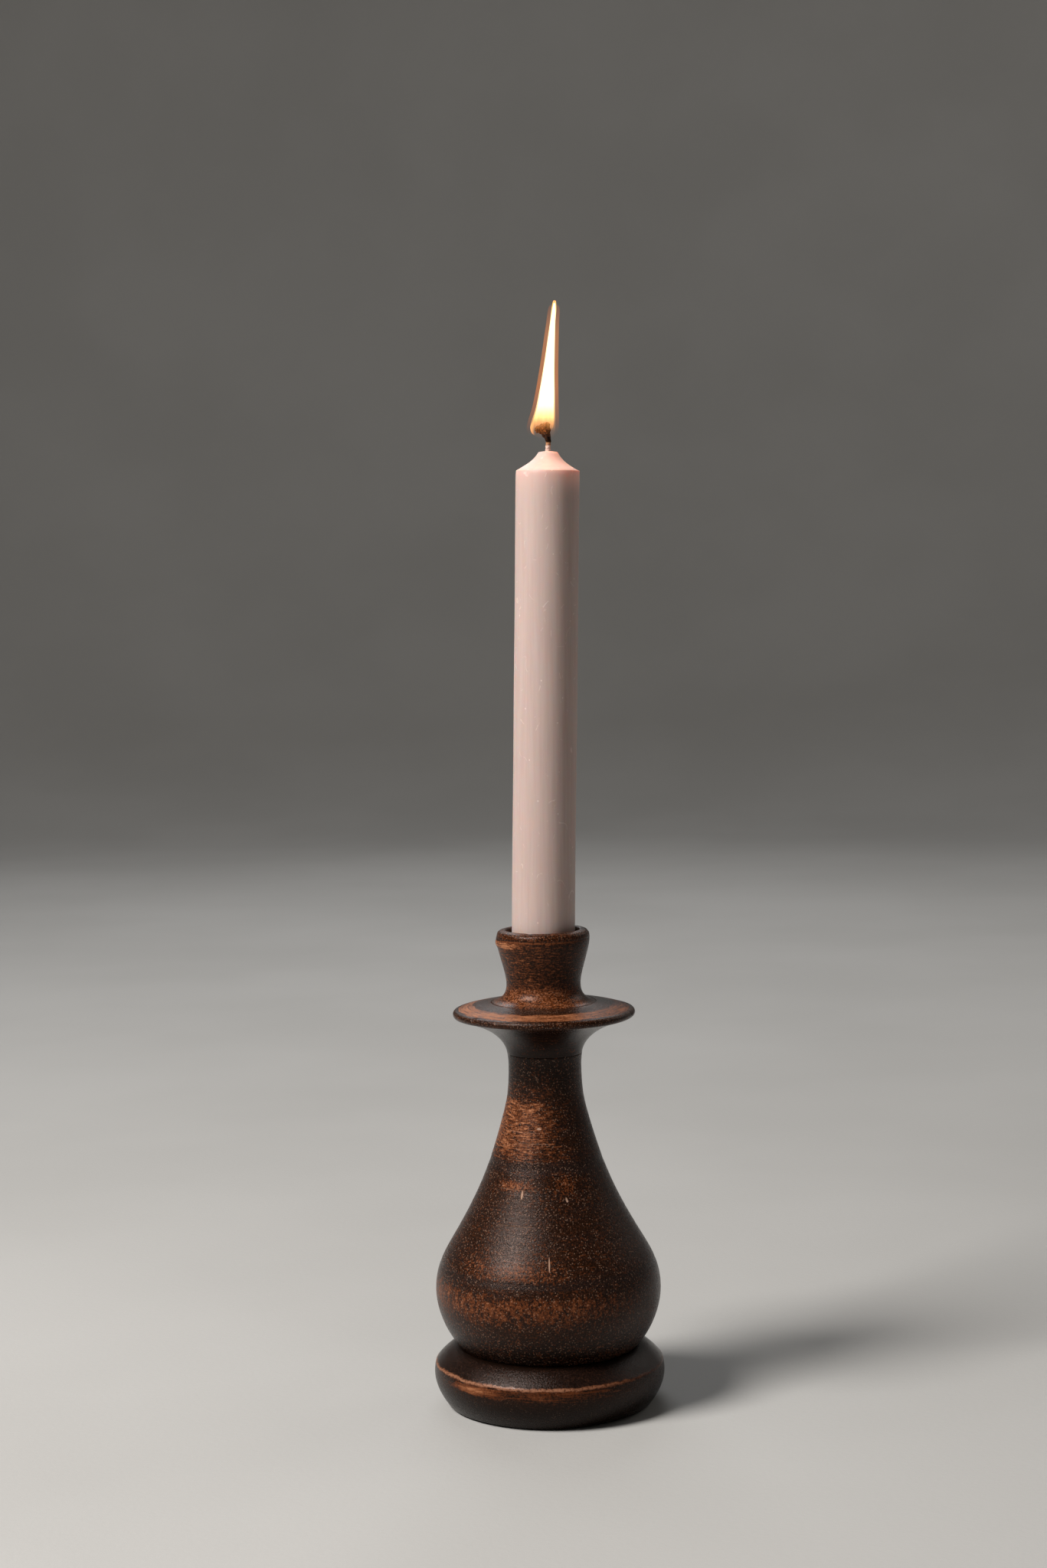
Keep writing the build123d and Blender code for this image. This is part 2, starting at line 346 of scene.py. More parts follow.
def grid_piece(name, points, wrap, body, material, stands_for=(), poles=(False, False)):
    """A mesh from a grid of points, rows along and columns round: each cell of four neighbours is a face.

    wrap says whether rows and columns close on themselves. poles says whether the first and the last row are
    one point each, and there the faces are triangles. A piece without a body is joined or staged later.
    """
    rows, columns = points.shape[:2]
    number = np.arange(rows * columns).reshape(rows, columns)
    if poles[0]:
        number[0] = number[0, 0]
    if poles[1]:
        number[-1] = number[-1, 0]
    if wrap[0]:
        number = np.concatenate([number, number[:1]], 0)
    if wrap[1]:
        number = np.concatenate([number, number[:, :1]], 1)
    a, b, c, d = number[:-1, :-1], number[:-1, 1:], number[1:, 1:], number[1:, :-1]
    quads = np.stack([a, b, c, d], -1).reshape(-1, 4)
    used, renumbered = np.unique(quads, return_inverse=True)
    faces = [list(dict.fromkeys(face)) for face in renumbered.reshape(-1, 4).tolist()]
    mesh = bpy.data.meshes.new(name)
    mesh.from_pydata(points.reshape(-1, 3)[used].tolist(), [], faces)
    mesh.polygons.foreach_set("use_smooth", np.ones(len(mesh.polygons), bool))
    mesh.validate()
    piece = bpy.data.objects.new(name, mesh)
    bpy.context.scene.collection.objects.link(piece)
    piece.data.materials.append(material)
    if body:
        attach(piece, body)
    if stands_for:
        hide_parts(*stands_for)
    return piece


def waves(count, seed, *fields):
    """A smooth uneven field round 0, mostly within 1.

    It is the sum of count cosines over the root of count. Each cosine has a random phase and, for every pair
    (field, most), a random whole number from -most to most that multiplies the field.
    """
    draw = np.random.default_rng(seed)
    total = 0
    for _ in range(count):
        phase = draw.uniform(0, TAU)
        pitched = sum(draw.integers(-most, most + 1) * field for field, most in fields)
        total = total + np.cos(pitched + phase)
    return total / np.sqrt(count)


def dip(angle, along, at_angle, at, wide, tall):
    """A soft dent, 1 deep at its middle.

    It is a bell curve of the angle (radians) round at_angle and one of the place along round at, multiplied.
    """
    off = (np.degrees(angle) - at_angle + 180) % 360 - 180
    return np.exp(-((off / wide) ** 2) - ((along - at) / tall) ** 2)


def turned(name, node, uneven, body, material, *, around, fine, coarse, seen,
           arris=0.12, axis=UP, middle=CENTRE):
    """A turned piece: the section of its CAD node carried round the axis, around steps to a turn.

    At an angle round the axis, a point of radius r has x = r sin(angle) and y = -r cos(angle). Before that
    it moves along the section's outward normal by uneven(angle, r, z), so that no piece is perfect. The
    section's steps are fine where seen(r, z) holds and coarse elsewhere.
    """
    line = resampled(section(node, axis, middle), fine * MM, coarse * MM, seen, arris * MM)
    closed = line[0, 0] > ON_AXIS
    if closed and np.hypot(*(line[0] - line[-1])) < ON_AXIS:
        line = line[:-1]
    way = np.gradient(line, axis=0)
    clockwise = np.sum(line[:, 0] * way[:, 1]) < 0
    if clockwise:
        line, way = line[::-1], -way[::-1]
    length = np.maximum(np.hypot(*way.T), NO_LENGTH)
    normal = np.stack([way[:, 1], -way[:, 0]], 1) / length[:, None]
    angle = np.linspace(-np.pi, np.pi, around, endpoint=False)
    r, z = line[:, :1] / MM, line[:, 1:] / MM
    # close to the axis nothing moves
    push = uneven(angle[None], r, z) * np.minimum(r, 1)
    radius = (r + push * normal[:, :1]) * MM
    height = (z + push * normal[:, 1:]) * MM
    local = np.stack([radius * np.sin(angle), -radius * np.cos(angle), height + 0 * angle], -1)
    local[..., :2] += middle
    points = local @ upright(axis).T
    return grid_piece(name, points, (closed, True), body, material, (node,), (not closed, not closed))


# ------------------------------------------------------------------ finishes
# colours are linear
STAIN = (0.0165, 0.0060, 0.0027)
STAIN_COOL = (0.0150, 0.0082, 0.0065)
OPEN_GRAIN = (0.072, 0.028, 0.015)
DARK_GRAIN = (0.006, 0.0026, 0.0015)
# painted shade: the dark colour that shaded places are darkened to
PAINTED_SHADE_COLOUR = (0.005, 0.0024, 0.0014)
# from stain that is nearly whole to bare wood
WEAR = [
    (0.00, (0.032, 0.0105, 0.0038)),
    (0.30, (0.078, 0.0200, 0.0055)),
    (0.60, (0.165, 0.0515, 0.0180)),
    (1.00, (0.380, 0.1550, 0.0700)),
]
# pale colour of painted glints, and of real pale ticks and scratches
GLINT_AND_MARK_PALE = (0.42, 0.25, 0.17)
FOOT_EDGE_DROP = 5.7  # from the foot's top down to its worn edge


class Wood(Paint):
    """Turned wood under dark satin stain, rubbed through to red-brown: the textures its pieces share."""

    def __init__(self, name):
        super().__init__(name)
        x, y, z, r = self.x, self.y, self.z, self.r
        self.across, self.along = x / r, y / r
        self.cloud = self.noise(x * 0.11, y * 0.11, z * 0.11, 4.0, 0.6)
        self.grain = self.noise(x * 1.5, y * 1.5, z * 1.5, 3.0, 0.75)
        self.mottle = self.noise(x * 0.7, y * 0.7, z * 0.7, 4.0, 0.7)

    def strokes(self, long, tall):
        """Noise drawn out round the piece: about long lumps to a radian and tall lumps to 1 mm of height."""
        return self.noise(self.across * long, self.along * long, self.z * tall, 3.0, 0.65)

    def wear(self, region, texture, strength=2.6):
        """How much of the stain is gone: region is how worn the place is, and texture lies round 0.5.

        It is 0.80 of region less 0.34, plus strength times what texture is above 0.5, held between 0 and 1.
        """
        return (region * 0.80 - 0.34 + (texture - 0.5) * strength).at_least(0).at_most(1)

    def glints_and_marks(self, size, share):
        """Painted glints: tiny pale points, size apart, in patches that grow with share."""
        near = self.grains(self.x / size, self.y / size, self.z / size)
        patchy = self.noise(self.x * 0.35, self.y * 0.35, self.z * 0.35, 3.0, 0.6)
        return near.rise(0.30, 0.14) * patchy.rise(0.62 - share * 0.4, 0.72 - share * 0.4)

    def stained(self, wear, cool, glints_and_marks, relief, sheen=0.0, painted_shade=0.0):
        """The whole finish: stain with open and dark grain, then painted shade, then wear, with painted
        glints and real pale marks over it.

        wear, cool, the pale points and the shade are shares: the pale points are painted glints, with real
        pale marks among them, and the shade is painted shade in creases, over the foot and under the pan.
        Roughness goes up with the grain, the clouds and the wear, and down with sheen. The surface is raised
        by relief, the grain and the mottle, less the wear, all in units of 0.1 mm.
        """
        stain = self.mix(cool, STAIN, STAIN_COOL)
        stain = self.mix(self.grain.rise(0.50, 0.66) * 0.7, stain, OPEN_GRAIN)
        stain = self.mix(self.grain.rise(0.48, 0.34) * 0.7, stain, DARK_GRAIN)
        # painted shade over the stain
        stain = self.mix(painted_shade, stain, PAINTED_SHADE_COLOUR)
        colour = self.mix(wear.rise(0.0, 0.22), stain, self.tint(wear, WEAR))
        # painted glints, and real pale marks, in a pale colour
        colour = self.mix(glints_and_marks.at_most(1), colour, GLINT_AND_MARK_PALE)
        rough = 0.265 + (self.grain - 0.5) * 0.50 + (self.cloud - 0.5) * 0.2 + wear * 0.22 - sheen * 0.08
        height = relief + self.grain * 1.8 + self.mottle * 0.6 - wear * 0.4
        return self.done(
            self.surface(
                Base_Color=colour, Roughness=rough.at_most(0.9).at_least(0.15), Specular_IOR_Level=0.18,
                Specular_Tint=(1.0, 0.82, 0.75), Normal=self.bump(height, 0.1),
            )
        )


def body_finish():
    """The body: loose wear all over, a mottled band low on the belly and a neck rubbed bare by the hand.

    Each worn field is a band of heights times how much its side was handled, roughened by a texture of its
    own, and the strongest of the three holds; the third also carries a painted highlight on the front left of
    the belly. Scratches, ticks and painted glints lie over them, and painted shade darkens the foot of the
    belly and the neck under the pan.
    """
    wood = Wood("body_stain")
    z, facing = wood.z, wood.facing
    fine = wood.strokes(7, 2.6)
    broad = wood.strokes(1.4, 0.35)
    fibres = wood.noise(wood.across * 26, wood.along * 26, z * 0.32, 3.0, 0.65)
    hatch = wood.noise(wood.across * 24 + z * 0.7, wood.along * 24 + z * 0.7, z * 0.5, 3.0, 0.7)
    # held and rubbed at the neck: brush marks crossed by dark upright scratches
    wander = (broad - 0.5) * 3.0
    gripped = facing(-52).rise(0.0, 0.95).at_least(facing(152).rise(0.1, 0.95) * 0.86)
    neck = (z + wander).rise(83.5, 94.0) * (z + wander * 0.3).rise(110.4, 107.8) * gripped
    above = z.rise(109.0, 110.5) * z.rise(116.0, 112.0) * gripped.rise(0.1, 0.9) * 0.42
    # mottled band low on the belly, streaked up and down
    rubbed = facing(-30).rise(-0.5, 0.85).at_least(facing(165).rise(0.0, 0.9) * 0.88)
    band = (z + wander).rise(31.0, 41.5) * (z + wander * 0.7).rise(50.5, 43.5) * rubbed
    # painted highlight with wear: paler round the front left of the belly, where the key light's highlight
    # falls
    wear_and_painted_highlight = z.rise(49.8, 52.5) * z.rise(64.0, 54.0) * facing(-22).rise(0.72, 1.0) * 0.42
    patch = wood.spot(-30, 80.6, 6.0, 1.7, 0.8) * 0.75 + wood.spot(17, 81.5, 4.0, 3.2, 0.9) * 0.5
    loose = 0.20 + (broad - 0.5) * 0.5 + (wood.cloud - 0.5) * 0.6
    brushed = wood.strokes(4, 1.7)
    marks = fine * 0.35 + brushed * 0.30 + wood.grain * 0.15 + hatch * 0.20
    worn = wood.wear(neck * 0.96 + above, marks, 6.5)
    worn = worn.at_least(wood.wear(band * 0.76, fibres * 0.30 + wood.grain * 0.40 + wood.mottle * 0.30, 4.6))
    worn = worn.at_least(wood.wear(loose + wear_and_painted_highlight + patch, wood.grain * 0.7 + wood.mottle * 0.3, 4.0))

    def scratch(height, degrees, half=0.08, soft=0.14, reach=(0.93, 0.97), broken=(0.3, 0.5)):
        """A thin line round the body at one height, faded out away from a direction and broken up."""
        return z.near(height, half, soft) * facing(degrees).rise(*reach) * fine.rise(*broken)

    scratches = scratch(68.3, -24, 0.10, 0.16, (0.962, 0.985), (0.35, 0.55))
    scratches = scratches + scratch(98.4, -36) + scratch(94.8, -14) + scratch(79.6, -26, 0.10, 0.18)
    # short pale marks
    ticks = (
        wood.spot(-22, 78.2, 0.42, 1.4, 0.25) + wood.spot(16.4, 76.6, 0.40, 0.75, 0.3, -0.7)
        + wood.spot(0.6, 57.0, 0.30, 2.1, 0.25) + wood.spot(-9, 99.8, 0.8, 0.4, 0.3)
    )
    # painted glints as pale points, with the pale ticks and scratches
    glints_and_marks = wood.glints_and_marks(0.95, 0.8) * 0.34 + ticks * 0.8 + scratches * 0.18
    # the turned lines at the neck and on the belly keep their stain
    cool = z.near(86.5, 1.4, 1.6) * 0.9 + z.near(50.2, 0.8, 1.4) * 0.9 + broad.rise(0.42, 0.62) * 0.7
    worn = worn * (1 - z.near(86.7, 0.8, 1.8) * 0.7) * (1 - z.near(50.3, 0.2, 1.6) * 0.5)
    # painted shade: darker at the foot of the belly and on the neck under the pan
    painted_shade = (z.rise(36.0, 25.0) * 0.9 + z.rise(109.0, 118.0) * 0.8).at_most(1)
    relief = fine * 0.35 + fibres * 0.25 - scratches * 1.0 - ticks * 1.5
    return wood.stained(worn, cool.at_most(1), glints_and_marks, relief, painted_shade=painted_shade)


def foot_finish():
    """The foot: a smooth top, streaks round its side and a bright worn line along its edge, with painted
    glints and painted shade.

    The line is a band of heights at the edge, made wavy and ragged by two noises. The side's wear is a low
    band and a patch, with the streaks as their texture, and the stronger of line and side holds.
    """
    wood = Wood("foot_stain")
    z, r, facing = wood.z, wood.r, wood.facing
    edge = top_of("foot") - FOOT_EDGE_DROP
    side = z.rise(edge + 0.3, edge - 0.3)
    # the grain runs straight across the foot, so it shows as long streaks round its side
    streak = wood.noise(wood.x * 0.10, wood.y * 0.35, z * 1.8, 3.0, 0.65)
    wander = wood.noise(wood.x * 0.16, wood.y * 0.16, 0.0, 3.0, 0.6)
    ragged = wood.noise(wood.x * 0.9, wood.y * 0.9, z * 0.9, 3.0, 0.6)
    rubbed = facing(-34).rise(-0.3, 0.95).at_least(facing(150).rise(0.0, 0.95) * 0.8)
    wavy = z - (wander - 0.5) * 1.4 - (ragged - 0.5) * 1.0
    line = wavy.near(edge - 0.10, 0.15, 0.62) * r.rise(38.6, 39.3)
    line = line * (0.18 + 0.56 * rubbed) * wood.grain.rise(0.28, 0.56)
    below = side * z.rise(edge - 7.0, edge - 1.5) * r.rise(36.5, 38.0)
    patch = wood.spot(-42, edge - 2.4, 8.0, 1.1, 0.9)
    low = below * facing(-10).rise(0.35, 1.0) * 0.55 + patch * 0.75 + side * 0.15
    worn = line.at_least(wood.wear(low, streak * 0.5 + wood.grain * 0.25 + wood.mottle * 0.25, 2.6))
    cool = (1 - side) * 0.9
    # painted glints on the side, and pale marks along the worn line
    glints_and_marks = wood.glints_and_marks(0.7, 0.35) * side * 0.15 + line * rubbed * 0.35
    relief = streak * 0.5 * side - line * 0.4
    # painted shade: some over the whole foot, more at the crease under the belly and low on its side
    painted_shade = 0.45 + (r.rise(35.0, 32.0) + z.rise(edge - 3.0, edge - 9.0)).at_most(1) * 0.5
    return wood.stained(worn, cool, glints_and_marks, relief, (1 - side) * 1.2, painted_shade)


def pan_finish():
    """The drip pan: a ring worn round its outer top, a little wear at its middle and rim, and one chip, with
    painted glints on its top and rim and painted shade under it.

    The ring lies between two radii, made wavy by a noise, and is strongest on the front left. Its texture is
    noise drawn out round the pan. The strongest of ring, middle, rim and chip holds.
    """
    wood = Wood("pan_stain")
    z, r, facing = wood.z, wood.r, wood.facing
    high = top_of("drip_pan")
    top = z.rise(high - 4.2, high - 3.4)
    rings = wood.noise(wood.across * 4.5, wood.along * 4.5, r * 3.6, 4.0, 0.7)
    wander = wood.noise(wood.x * 0.12, wood.y * 0.12, 0.0, 3.0, 0.5)
    at = r + (wander - 0.5) * 1.8
    ring = at.rise(23.6, 25.2) * at.rise(30.3, 29.6) * top
    inner = top * at.rise(22.0, 17.5) * 0.55
    rim = r.rise(30.4, 31.0) * 0.25
    texture = rings * 0.55 + wood.grain * 0.30 + wood.mottle * 0.15
    worn = wood.wear(ring * (0.90 + 0.44 * facing(-35)).at_least(0.82), texture, 6.4)
    worn = worn.at_least(wood.wear(inner + rim + 0.1, wood.grain * 0.7 + rings * 0.3, 2.6))
    cool = top * at.rise(23.9, 22.8) * r.rise(16.5, 18.0) * 0.4
    # painted glints on the top round the cup and on the rim
    glints_and_marks = wood.glints_and_marks(0.62, 0.7) * (top * r.rise(24.0, 22.0) + r.rise(30.2, 30.8)).at_most(1) * 0.45
    chip = wood.spot(-50, 139.2, 0.9, 0.6, 0.3) * r.rise(31.0, 31.4) * 0.7
    # painted shade under the pan
    painted_shade = z.rise(high - 4.5, high - 7.0) * r.rise(31.2, 29.0) * 0.8
    sheen = 1 - top + r.rise(24.0, 20.0) * 1.4 + r.rise(29.6, 30.6) * 0.7
    return wood.stained(worn.at_least(chip), cool, glints_and_marks, rings * 0.5, sheen, painted_shade)


def cup_finish():
    """The candle cup: a brushed side, a cove rubbed red-brown and a shiny crown with a pale arris under it,
    and painted glints on the crown and cove.

    Side, cove, arris and crown are bands of heights below the lip. The side and the cove are worn by
    textures drawn out round the cup, the arris and the crown by the grain, and the strongest holds.
    """
    wood = Wood("cup_stain")
    z, r, facing = wood.z, wood.r, wood.facing
    lip = top_of("candle_cup")
    brushed = wood.strokes(6, 2.8)
    longer = wood.strokes(2.2, 1.6)
    side = z.rise(lip - 21.5, lip - 18.0) * z.rise(lip - 2.7, lip - 3.5)
    drawn = side * (0.32 + 0.20 * facing(-40).at_least(-0.25))
    corner = wood.spot(-66, lip - 4.4, 8.0, 1.5, 0.6) * z.rise(lip - 2.9, lip - 3.6)
    cove = z.rise(lip - 16.0, lip - 20.5) * (0.62 + 0.30 * facing(-15)) * r.rise(19.5, 17.0)
    texture = brushed * 0.55 + longer * 0.15 + wood.grain * 0.30
    worn = wood.wear(drawn + corner * 0.85, texture, 6.0)
    worn = worn.at_least(wood.wear(cove, wood.grain * 0.60 + brushed * 0.40, 4.0))
    arris = z.near(lip - 3.1, 0.15, 0.35) * facing(-5).rise(0.3, 0.9) * wood.grain.rise(0.3, 0.55) * 0.55
    crown = z.rise(lip - 3.0, lip - 2.3)
    worn = (worn * (1 - crown * 0.5)).at_least(arris).at_least(crown * wood.grain.rise(0.42, 0.62) * 0.34)
    # painted glints, most on the crown and on the cove at the cup's foot
    glints_and_marks = wood.glints_and_marks(0.6, 0.7) * (0.45 * crown + 0.45 * z.rise(lip - 18.0, lip - 21.5) + 0.06)
    cool = crown * 0.25 + z.rise(lip - 21.5, lip - 24.5) * 0.3
    relief = brushed * 0.8 * side + wood.mottle * crown * 1.2
    sheen = crown * 1.4 + z.rise(lip - 20.0, lip - 23.5) * 1.6
    return wood.stained(worn, cool.at_most(1), glints_and_marks, relief, sheen)


def wax_finish():
    """Dusty pink wax that light passes into: two pinks mixed by drawn-out streaks, made warmer towards the
    top as painted flame light.

    Scuffs are the tops of a fine noise, hairs the lines where a broad noise is 0.5, and specks scattered
    points. The painted flame light below the top is also emitted, and rises with the height to the power 1.6.
    """
    paint = Paint("wax")
    x, y, z = paint.x, paint.y, paint.z
    top = top_of("candle")
    drawn = paint.noise(x * 0.9, y * 0.9, z * 0.035, 3.0, 0.6)
    cloud = paint.noise(x * 0.08, y * 0.08, z * 0.05, 3.0, 0.6)
    scuff = paint.noise(x * 1.2, y * 1.2, z * 2.4, 4.0, 0.7).rise(0.71, 0.78)
    scuff = scuff * paint.noise(x * 0.1, y * 0.1, z * 0.07, 2.0, 0.5).rise(0.5, 0.62)
    hair = (paint.noise(x * 0.16, y * 0.16, z * 0.10, 1.0) - 0.5).size().rise(0.012, 0.003)
    hair = hair * paint.noise(x * 0.3, y * 0.3, z * 0.3, 2.0, 0.5).rise(0.54, 0.62)
    speck = paint.grains(x / 5.5, y / 5.5, z / 5.5).rise(0.062, 0.040)
    colour = paint.mix(drawn.rise(0.3, 0.7), (0.492, 0.368, 0.332), (0.530, 0.412, 0.377))
    colour = paint.mix(cloud.rise(0.35, 0.7) * 0.4, colour, (0.515, 0.39, 0.345))
    # painted flame light: the wax is warmer towards its top
    colour = paint.mix(z.rise(top - 26, top - 4) * 0.25, colour, (0.62, 0.43, 0.37))
    colour = paint.mix((scuff * 0.4 + hair * 0.42 + speck * 0.6).at_most(0.8), colour, (0.78, 0.68, 0.62))
    normal = paint.bump(drawn * 0.5 + (scuff + hair) * 0.3 + cloud * 0.4, 0.06)
    # painted flame light: an emitted warm glow below the top stands in for the flame shining into the wax
    glow = z.rise(top - 18, top - 6) ** 1.6
    painted_flame_glow = paint.mix(glow, (0.0, 0.0, 0.0), (0.26, 0.085, 0.05))
    return paint.done(
        paint.surface(
            Base_Color=colour, Roughness=0.46 + 0.12 * cloud, Normal=normal, Subsurface_Weight=0.7,
            Subsurface_Radius=(1.0, 0.3, 0.16), Subsurface_Scale=0.005, Emission_Color=painted_flame_glow,
            Emission_Strength=0.5,
        )
    )


def cotton_finish():
    """Waxed cotton at the foot of the wick, scorched brown and then charred, with painted golden highlights
    on its crests.

    The height above the wax, made ragged by the mottle, tells cotton, scorch and charred wick apart. The
    ember glows on the side that the wick leans to, where the fibres stand up.
    """
    paint = Paint("wick_char")
    x, y, z = paint.x, paint.y, paint.z
    fibre = paint.noise(x * 5.0, y * 5.0, z * 2.5, 4.0, 0.7)
    mottle = paint.noise(x * 1.3, y * 1.3, z * 1.3, 3.0, 0.6)
    above_wax = z - top_of("candle")
    ragged = above_wax + (mottle - 0.5) * 1.6
    clean = paint.mix(fibre.rise(0.3, 0.7), (0.62, 0.40, 0.32), (0.78, 0.58, 0.50))
    # char, with painted golden highlights from the flame on the fibres' crests
    char_and_highlights = paint.mix(fibre.rise(0.52, 0.66), (0.004, 0.002, 0.0012), (0.20, 0.065, 0.014))
    colour = paint.mix(ragged.rise(2.4, 3.4), clean, char_and_highlights)
    colour = paint.mix(ragged.near(2.7, 0.25, 0.5) * 0.8, colour, (0.34, 0.14, 0.04))
    ember = above_wax.rise(5.4, 7.2) * (x - wick_x()).rise(0.6, -1.4) * fibre.rise(0.48, 0.62)
    glow = paint.mix(ember, (0.0, 0.0, 0.0), (1.0, 0.26, 0.05))
    normal = paint.bump(fibre, 0.15)
    return paint.done(
        paint.surface(
            Base_Color=colour, Roughness=0.75, Specular_IOR_Level=0.1, Normal=normal, Emission_Color=glow,
            Emission_Strength=0.5,
        )
    )


def felt_finish():
    """Dark green wool felt: two greens mixed by a warped noise, paler lint drawn out one way, and a nap."""
    paint = Paint("felt_green")
    x, y, z = paint.x, paint.y, paint.z
    mat = paint.noise(x * 2.0, y * 2.0, z * 2.0, 5.0, 0.75, 0.8)
    lint = paint.noise(x * 6.0, y * 0.9, z * 6.0, 3.0, 0.6, 1.5).rise(0.6, 0.75)
    colour = paint.mix(mat.rise(0.3, 0.7), (0.018, 0.045, 0.022), (0.045, 0.085, 0.045))
    colour = paint.mix(lint * 0.4, colour, (0.10, 0.13, 0.09))
    normal = paint.bump(mat + lint * 0.5, 0.25)
    return paint.done(
        paint.surface(
            Base_Color=colour, Roughness=0.95, Normal=normal, Sheen_Weight=0.4, Sheen_Roughness=0.6,
        )
    )


def steel_finish():
    """Zinc-plated screw steel: a dull bloom, and marks that follow radius plus height round the head."""
    paint = Paint("screw_zinc")
    x, y, z, r = paint.x, paint.y, paint.z, paint.r
    turned_marks = paint.noise(x * 0.3, y * 0.3, (r + z) * 5.0, 3.0, 0.6)
    bloom = paint.noise(x * 0.9, y * 0.9, z * 0.9, 4.0, 0.6)
    colour = paint.mix(bloom.rise(0.35, 0.7), (0.55, 0.54, 0.50), (0.36, 0.35, 0.32))
    normal = paint.bump(turned_marks, 0.05)
    return paint.done(
        paint.surface(Base_Color=colour, Metallic=0.95, Roughness=0.3 + 0.25 * bloom, Normal=normal)
    )


# ------------------------------------------------------------------ wooden pieces
# knocks in the foot's edge: direction, depth, half-width in degrees and half-height
EDGE_KNOCKS = [(-52, 0.35, 2.0, 0.9), (21, 0.30, 1.5, 0.8), (128, 0.30, 2.5, 1.0), (-140, 0.35, 3.0, 1.1)]
# lines turned into the body: height, depth and half-width
TURNED_LINES = [
    (50.4, 0.05, 0.8),
    (62.0, 0.03, 0.5),
    (68.3, 0.04, 0.25),
    (78.9, 0.03, 0.4),
    (86.2, 0.08, 1.4),
    (98.2, 0.02, 0.3),
    (109.3, 0.04, 0.8),
]


def foot_uneven(angle, r, z):
    """A bell curve of the height wears the foot's edge away unevenly, knocks dent it and the side waves."""
    edge = top_of("foot") - FOOT_EDGE_DROP
    worn = np.exp(-((z - edge) ** 2)) * (0.10 * waves(9, 3, (angle, 14)) - 0.12)
    dents = sum(depth * dip(angle, z, at, edge, wide, tall) for at, depth, wide, tall in EDGE_KNOCKS)
    side = 0.05 * waves(8, 4, (angle, 5), (z * 0.15, 2))
    return (worn - dents) * (r > 38) + side * (r > 34)


def body_uneven(angle, r, z):
    """The body sways and ripples a little, less its turned lines (bell curves of the height) and two nicks.

    Nothing moves at the tenon, in the bore or near the seat on the foot.
    """
    skin = np.clip((z - 22) / 2, 0, 1) * (r > 12.4)
    lines = sum(depth * np.exp(-(((z - at) / wide) ** 2)) for at, depth, wide in TURNED_LINES)
    sway = 0.06 * waves(10, 8, (angle, 3), (z * 0.06, 3))
    ripple = 0.008 * np.sin(z * 3.1 + 0.3 * np.sin(angle))
    nick = 0.30 * dip(angle, z, -84, 106.4, 3.0, 0.5) + 0.25 * dip(angle, z, -86, 72.6, 2.0, 0.5)
    return (sway + ripple - lines - nick) * skin


def pan_uneven(angle, r, z):
    """The pan waves a little all over and more at its rim, where two chips (bell curves) are knocked out."""
    rim = np.clip((r - 29.5) / 1.5, 0, 1)
    chip = 0.55 * dip(angle, z, -51, 139.0, 1.6, 0.9) + 0.35 * dip(angle, z, 74, 138.6, 2.2, 0.8)
    return rim * (0.07 * waves(9, 12, (angle, 6)) - chip) + 0.03 * waves(6, 13, (angle, 4), (r * 0.2, 2))


def cup_uneven(angle, r, z):
    """The cup's crown waves, is sunk on the left and knocked twice; its side waves and its corner bulges."""
    lip = top_of("candle_cup")
    crown = np.clip((z - lip + 5.0) / 2.5, 0, 1) * (r > 12.0)
    corner = 0.42 * dip(angle, z, -82, lip - 4.6, 22.0, 1.2) * (r > 15)
    sunk = 0.35 * dip(angle, z, -78, lip - 1.2, 26.0, 1.6)
    knocks = 0.25 * dip(angle, z, -20, lip - 0.6, 4.0, 1.0) + 0.3 * dip(angle, z, 96, lip - 1.0, 5.0, 1.2)
    side = 0.05 * waves(8, 17, (angle, 4), (z * 0.2, 2)) * (r > 12.6)
    return crown * (0.12 * waves(9, 18, (angle, 5)) - sunk - knocks) + corner + side


def wooden_pieces():
    """The foot, body, drip pan and candle cup, with fine steps where they can be seen."""
    turned(
        "foot_turned", "foot", foot_uneven, STICK, foot_finish(),
        around=400, fine=0.5, coarse=2.5, seen=lambda r, z: r > 30,
    )
    turned(
        "body_turned", "body", body_uneven, STICK, body_finish(),
        around=400, fine=0.65, coarse=3.0, seen=lambda r, z: r > 12.4 and z > 20.9, arris=0.02,
    )
    turned(
        "drip_pan_turned", "drip_pan", pan_uneven, STICK, pan_finish(),
        around=400, fine=0.35, coarse=2.0, seen=lambda r, z: r > 12.7, arris=0.02,
    )
    turned(
        "candle_cup_turned", "candle_cup", cup_uneven, STICK, cup_finish(),
        around=360, fine=0.35, coarse=2.0, seen=lambda r, z: r > 11.3 and z > 141.2,
    )


# ------------------------------------------------------------------ candle, wick and flame
lean = np.array(frame["joints"][0]["axis"], float)


def candle_axis():
    """Where the candle's axis stands when it is turned upright, and how high its top is then, in metres."""
    local = points_of(frame["nodes"]["candle"].data) @ upright(lean)
    return (local[:, :2].min(0) + local[:, :2].max(0)) / 2, float(local[:, 2].max())


axis_at, wax_top = candle_axis()


def beside_wick(x, y, up):
    """Points x, y and up from the middle of the candle's top, as places in the CAD's frame, in metres."""
    x, y, up = np.broadcast_arrays(x, y, up)
    local = np.stack([axis_at[0] + x * MM, axis_at[1] + y * MM, wax_top + up * MM], -1)
    return local @ upright(lean).T


def wick_x():
    """Where the charred wick stands across the front, at half its height."""
    return float(beside_wick(0.0, 0.0, 8.0)[0]) / MM


